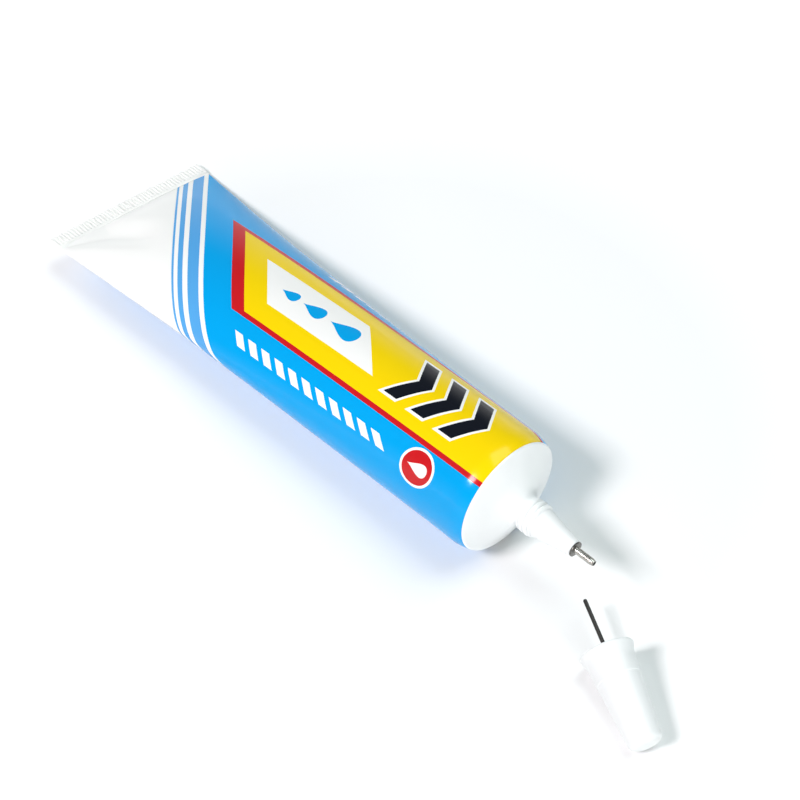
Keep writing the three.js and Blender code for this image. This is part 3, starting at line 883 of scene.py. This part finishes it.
def make_shoulder(settings):
    """Shoulder, skirt and threaded neck in one moulding. The cone is hollowed towards the neck."""
    sleeve, moulding = settings.tube_sleeve, settings.tube_moulding
    wall = moulding.shoulder_wall
    lip = sleeve.diameter / 2 - sleeve.rim_draw - SEAT_GAP
    skirt = lip - sleeve.wall - FIT_GAP / 2
    root = moulding.neck_root / 2
    crest = moulding.neck_diameter / 2
    bore = moulding.neck_bore / 2
    flare = moulding.flare_diameter / 2
    thread_start = on_cone(settings, root) + moulding.neck_fillet
    neck_end = moulding.neck_base + moulding.neck_length
    corners = [
        (-sleeve.skirt, skirt - wall, 0),
        (-sleeve.skirt, skirt, 0.2 * MM),
        (SEAT_GAP, skirt, 0),
        (SEAT_GAP, lip, 0.05 * MM),
        (on_cone(settings, lip), lip, moulding.edge_round),
        (on_cone(settings, flare) - moulding.flare_depth, flare, moulding.flare_round),
        (on_cone(settings, root), root, moulding.neck_fillet),
        (neck_end, root, 0.2 * MM),
        (neck_end, bore, 0.1 * MM),
        (on_cone(settings, bore) - wall, bore, 0.3 * MM),
        (on_cone(settings, skirt - wall) - wall, skirt - wall, 0.3 * MM),
        (-sleeve.skirt, skirt - wall, 0),
    ]
    piece = draw_outline("shoulder_and_neck", corners)
    divide_outline(piece, moulding.cone_end, neck_end, root, THREAD_CUTS)
    spin_outline(TURNED_STEPS)
    raise_thread(piece, thread_start, neck_end, root, crest - root, moulding.thread_pitch)
    place_piece(piece, tube_matrix(sleeve), SMOOTH_DEGREES)
    dress_piece(piece, white_plastic(settings), "tube_shoulder", "tube")


def make_nozzle(settings):
    """Tapered nozzle with its spigot in the neck and a socket for the needle."""
    moulding, needle = settings.tube_moulding, settings.tube_needle
    neck_end = moulding.neck_base + moulding.neck_length
    end = neck_end + moulding.nozzle_length - SEAT_GAP
    spigot = moulding.neck_bore / 2 - FIT_GAP / 2
    bore = moulding.nozzle_bore / 2
    socket = max(needle.diameter / 2, bore) + FIT_GAP / 2
    seat = neck_end + SEAT_GAP
    corners = [
        (neck_end - moulding.spigot_length, bore, 0),
        (neck_end - moulding.spigot_length, spigot, 0.2 * MM),
        (seat, spigot, 0),
        (seat, NOZZLE_BASE / 2, 0.15 * MM),
        (end, moulding.nozzle_end / 2, 0.25 * MM),
        (end, socket, 0),
        (end - needle.shank - FIT_GAP, socket, 0),
        (end - needle.shank - FIT_GAP, bore, 0),
        (neck_end - moulding.spigot_length, bore, 0),
    ]
    piece = draw_outline("nozzle", corners)
    spin_outline(TURNED_STEPS)
    place_piece(piece, tube_matrix(settings.tube_sleeve), SMOOTH_DEGREES)
    dress_piece(piece, white_plastic(settings), "nozzle_cone", "tube")


def make_needle(settings):
    """Steel needle: a tube with a flange and a swaged tip."""
    moulding, needle = settings.tube_moulding, settings.tube_needle
    back = moulding.neck_base + moulding.neck_length + moulding.nozzle_length
    face = back + needle.flange_thickness
    tip = face + needle.reach
    outside, bore = needle.diameter / 2, needle.bore / 2
    corners = [
        (back - needle.shank, bore, 0),
        (back - needle.shank, outside, 0.1 * MM),
        (back, outside, 0),
        (back, needle.flange_diameter / 2, 0.12 * MM),
        (face, needle.flange_diameter / 2, 0.12 * MM),
        (face, outside, 0.1 * MM),
        (tip - needle.tip_taper, outside, 0.3 * MM),
        (tip, needle.tip_diameter / 2, 0.05 * MM),
        (tip, bore * 0.9, 0.04 * MM),
        (tip - needle.tip_taper, bore, 0),
        (back - needle.shank, bore, 0),
    ]
    piece = draw_outline("needle", corners)
    spin_outline(SMALL_STEPS)
    matrix = tube_matrix(settings.tube_sleeve)
    place_piece(piece, matrix, SMALL_SMOOTH_DEGREES)
    finish = plated_steel(needle.steel, matrix, face + FIT_GAP / 4)
    dress_piece(piece, finish, "needle_tip", "tube")


def cap_depths(settings):
    """Depths from the cap's mouth: to the end of its thread, to the needle's flange and to its floor."""
    moulding, needle, cap = settings.tube_moulding, settings.tube_needle, settings.tube_cap
    seat = moulding.neck_base + cap.clearance
    neck_end = moulding.neck_base + moulding.neck_length
    flange = neck_end + moulding.nozzle_length
    tip = flange + needle.flange_thickness + needle.reach
    return neck_end - seat, flange - seat, tip + cap.tip_clearance - seat


def make_cap(settings):
    """Screw cap: flared mouth, ledge, tapered shank and rounded end, with a threaded bore."""
    moulding, cap = settings.tube_moulding, settings.tube_cap
    thread_depth, flange_depth, floor_depth = cap_depths(settings)
    end = floor_depth + cap.end_wall
    lip, shank, foot = cap.mouth_diameter / 2, cap.shank_diameter / 2, cap.end_diameter / 2
    taper = (shank - foot) / (end - cap.end_round - cap.flare_length)
    ledge = shank - (cap.ledge_height - cap.flare_length) * taper
    thread = moulding.neck_diameter / 2 + cap.clearance
    cone = NOZZLE_BASE / 2 + cap.clearance
    tip = moulding.nozzle_end / 2 + cap.clearance
    socket = cap.pin_diameter / 2 + SEAT_GAP
    socket_end = floor_depth + cap.pin_root + SEAT_GAP
    corners = [
        (end, 0, 0),
        (end, foot - cap.end_round * taper, cap.end_round),
        (cap.ledge_height + cap.ledge_step, ledge - cap.ledge_step, 0.05 * MM),
        (cap.ledge_height, ledge, 0.05 * MM),
        (cap.flare_length * 0.6, shank, cap.flare_length * 0.42),
        (0.4 * MM, lip, 0.25 * MM),
        (0, lip - 0.3 * MM, 0.12 * MM),
        (0, lip - cap.mouth_wall, 0.15 * MM),
        (cap.flare_length / 2, thread, 0.2 * MM),
        (thread_depth, thread, 0),
        (thread_depth, cone, 0),
        (flange_depth, tip, 0),
        (floor_depth, tip, 0.3 * MM),
        (floor_depth, socket, 0),
        (socket_end, socket, 0),
        (socket_end, 0, 0),
    ]
    piece = draw_outline("cap", corners)
    divide_outline(piece, cap.flare_length / 2, thread_depth, thread, THREAD_CUTS)
    spin_outline(TURNED_STEPS)
    ridge = cap.clearance - (moulding.neck_diameter - moulding.neck_root) / 2
    raise_thread(piece, cap.flare_length / 2, thread_depth, thread, ridge, moulding.thread_pitch)
    place_piece(piece, cap_matrix(cap), SMOOTH_DEGREES)
    dress_piece(piece, white_plastic(settings), "screw_cap", "cap")


def make_pin(settings):
    """Steel pin: a straight wire set into the cap's floor, with a blunt tip."""
    cap = settings.tube_cap
    root = cap_depths(settings)[2] + cap.pin_root
    radius = cap.pin_diameter / 2
    corners = [
        (-cap.pin_reach, 0, 0),
        (-cap.pin_reach, radius * 0.6, 0.05 * MM),
        (0.25 * MM - cap.pin_reach, radius, 0.08 * MM),
        (root, radius, 0.05 * MM),
        (root, 0, 0),
    ]
    piece = draw_outline("pin", corners)
    spin_outline(SMALL_STEPS)
    matrix = cap_matrix(cap)
    place_piece(piece, matrix, SMALL_SMOOTH_DEGREES)
    dress_piece(piece, drawn_wire(cap.wire, matrix), "cap_pin", "cap")


def white_plastic(settings):
    """The one white plastic that the shoulder, nozzle and cap share."""
    return bpy.data.materials.get(WHITE_PLASTIC) or moulded_polyethylene(settings.tube_moulding.plastic)


# Stage.


def whiteness(tree, mirrored):
    """How white the surroundings look: fully to the camera, and by a share in metal and clear pieces."""
    path = add_node(tree, "ShaderNodeLightPath").outputs
    bounced = add_node(tree, "ShaderNodeMath", {
        0: path["Is Glossy Ray"], 1: path["Is Transmission Ray"],
    }, operation="MAXIMUM")
    shared = add_node(tree, "ShaderNodeMath", {0: bounced, 1: mirrored}, operation="MULTIPLY")
    return add_node(tree, "ShaderNodeMath", {0: path["Is Camera Ray"], 1: shared}, operation="MAXIMUM")


def make_floor(stage):
    """Wide pale table that keeps the shadows. Away from the object, what is seen of it grows to white."""
    bpy.ops.object.select_all(action="DESELECT")
    bpy.ops.mesh.primitive_plane_add(size=FLOOR_SIZE, location=(0, 0, -FLOOR_DROP))
    floor = bpy.context.active_object
    floor.name = "floor"
    bpy.ops.object.transform_apply(location=True, rotation=True, scale=True)
    material, tree, place = new_material("table_matt_white")
    middle = (Vector(CAD_BOX[0]) + Vector(CAD_BOX[1])) / 2
    middle.z = 0.0
    out = add_node(tree, "ShaderNodeVectorMath", {0: place, 1: middle}, operation="DISTANCE")
    near, far = FLOOR_LIFT_RINGS
    lift = add_node(tree, "ShaderNodeMapRange", {
        "Value": out.outputs["Value"], "From Min": near, "From Max": far, "To Min": FLOOR_LIFT,
    })
    lifted = add_node(tree, "ShaderNodeMath", {0: whiteness(tree, 1.0), 1: lift}, operation="MULTIPLY")
    shader = add_node(tree, "ShaderNodeBsdfPrincipled", {
        "Base Color": tuple(stage.floor), "Roughness": 0.6, "Specular IOR Level": 0.2,
        "Emission Color": (1.0, 1.0, 1.0, 1.0), "Emission Strength": lifted,
    })
    add_node(tree, "ShaderNodeOutputMaterial", {"Surface": shader})
    floor.data.materials.append(material)


def make_light(stage):
    """Three soft lamps, in dim surroundings that look white to the camera and, low down, in metal."""
    world = bpy.data.worlds.new("pale_studio")
    bpy.context.scene.world = world
    world.use_nodes = True
    tree = world.node_tree
    tree.nodes.clear()
    glow = add_node(tree, "ShaderNodeBackground", {"Color": linear("#f2fbff"), "Strength": stage.ambient})
    white = add_node(tree, "ShaderNodeBackground", {"Color": linear("#ffffff")})
    toward = add_node(tree, "ShaderNodeTexCoord").outputs["Generated"]
    height = add_node(tree, "ShaderNodeSeparateXYZ", {0: toward}).outputs["Z"]
    start, end = HORIZON_RISE
    low = add_node(tree, "ShaderNodeMapRange", {
        "Value": height, "From Min": start, "From Max": end, "To Min": 1.0, "To Max": 0.0,
    })
    mixed = add_node(tree, "ShaderNodeMixShader", {0: whiteness(tree, low), 1: glow, 2: white})
    add_node(tree, "ShaderNodeOutputWorld", {"Surface": mixed})
    powers = (stage.side_power, stage.overhead_power, stage.front_power)
    for (name, direction, size, tint), power in zip(LAMPS, powers):
        bpy.ops.object.light_add(type="AREA", location=Vector(direction).normalized() * LAMP_DISTANCE)
        lamp = bpy.context.active_object
        lamp.name = name
        lamp.data.energy = power
        lamp.data.size = size
        lamp.data.color = linear(tint)[:3]
        lamp.rotation_euler = lamp.location.to_track_quat("Z", "Y").to_euler()


def make_camera(stage):
    """Camera at the photograph's viewing angle."""
    level = math.cos(stage.elevation)
    aside, ahead = math.sin(stage.azimuth) * level, math.cos(stage.azimuth) * level
    back = Vector((aside, -ahead, math.sin(stage.elevation)))
    bpy.ops.object.camera_add(location=Vector(CAMERA_AIM) + back * stage.distance)
    camera = bpy.context.active_object
    camera.rotation_euler = back.to_track_quat("Z", "Y").to_euler()
    camera.data.sensor_width = SENSOR_WIDTH
    camera.data.lens = stage.lens
    camera.data.clip_start = CLIP_START
    bpy.context.scene.camera = camera
    bpy.context.scene.view_settings.view_transform = "Standard"


# Operators, one for each piece, and the stage.


class TUBE_OT_stage(bpy.types.Operator):
    """Sets up the pale table, the soft light and the camera"""

    bl_idname = "adhesive_tube.stage"
    bl_label = "Stage"

    def execute(self, context):
        stage = context.scene.tube_stage
        make_camera(stage)
        make_floor(stage)
        make_light(stage)
        return {"FINISHED"}


class TUBE_OT_sleeve(bpy.types.Operator):
    """Models the printed laminate sleeve with its crimp"""

    bl_idname = "adhesive_tube.sleeve"
    bl_label = "Laminate Sleeve"

    def execute(self, context):
        make_sleeve(context.scene)
        return {"FINISHED"}


class TUBE_OT_shoulder(bpy.types.Operator):
    """Models the white shoulder with its threaded neck"""

    bl_idname = "adhesive_tube.shoulder"
    bl_label = "Shoulder and Neck"

    def execute(self, context):
        make_shoulder(context.scene)
        return {"FINISHED"}


class TUBE_OT_nozzle(bpy.types.Operator):
    """Models the tapered nozzle"""

    bl_idname = "adhesive_tube.nozzle"
    bl_label = "Nozzle"

    def execute(self, context):
        make_nozzle(context.scene)
        return {"FINISHED"}


class TUBE_OT_needle(bpy.types.Operator):
    """Models the flanged steel needle"""

    bl_idname = "adhesive_tube.needle"
    bl_label = "Needle"

    def execute(self, context):
        make_needle(context.scene)
        return {"FINISHED"}


class TUBE_OT_adhesive(bpy.types.Operator):
    """Models the adhesive inside the tube"""

    bl_idname = "adhesive_tube.adhesive"
    bl_label = "Adhesive"

    def execute(self, context):
        make_adhesive(context.scene)
        return {"FINISHED"}


class TUBE_OT_cap(bpy.types.Operator):
    """Models the screw cap that lies in front of the tube"""

    bl_idname = "adhesive_tube.cap"
    bl_label = "Screw Cap"

    def execute(self, context):
        make_cap(context.scene)
        return {"FINISHED"}


class TUBE_OT_pin(bpy.types.Operator):
    """Models the steel pin in the cap"""

    bl_idname = "adhesive_tube.pin"
    bl_label = "Cap Pin"

    def execute(self, context):
        make_pin(context.scene)
        return {"FINISHED"}


class TUBE_PT_panel(bpy.types.Panel):
    """Lists the pieces in the order in which they are made"""

    bl_idname = "TUBE_PT_panel"
    bl_label = "Adhesive Tube"
    bl_space_type = "VIEW_3D"
    bl_region_type = "UI"
    bl_category = "Adhesive Tube"

    def draw(self, context):
        for operator in OPERATORS:
            self.layout.operator(operator.bl_idname)


OPERATORS = (
    TUBE_OT_stage,
    TUBE_OT_sleeve,
    TUBE_OT_shoulder,
    TUBE_OT_nozzle,
    TUBE_OT_needle,
    TUBE_OT_adhesive,
    TUBE_OT_cap,
    TUBE_OT_pin,
)
SETTINGS = {
    "tube_sleeve": SleeveSettings,
    "tube_print": PrintSettings,
    "tube_moulding": MouldingSettings,
    "tube_needle": NeedleSettings,
    "tube_cap": CapSettings,
    "tube_stage": StageSettings,
}


def register():
    for name, group in SETTINGS.items():
        bpy.utils.register_class(group)
        setattr(bpy.types.Scene, name, PointerProperty(type=group))
    for operator in OPERATORS:
        bpy.utils.register_class(operator)
    bpy.utils.register_class(TUBE_PT_panel)


def unregister():
    bpy.utils.unregister_class(TUBE_PT_panel)
    for operator in reversed(OPERATORS):
        bpy.utils.unregister_class(operator)
    for name, group in reversed(SETTINGS.items()):
        delattr(bpy.types.Scene, name)
        bpy.utils.unregister_class(group)


def main():
    register()
    bpy.ops.adhesive_tube.stage()
    bpy.ops.adhesive_tube.sleeve()
    bpy.ops.adhesive_tube.shoulder()
    bpy.ops.adhesive_tube.nozzle()
    bpy.ops.adhesive_tube.needle()
    bpy.ops.adhesive_tube.adhesive()
    bpy.ops.adhesive_tube.cap()
    bpy.ops.adhesive_tube.pin()


if __name__ == "__main__":
    main()
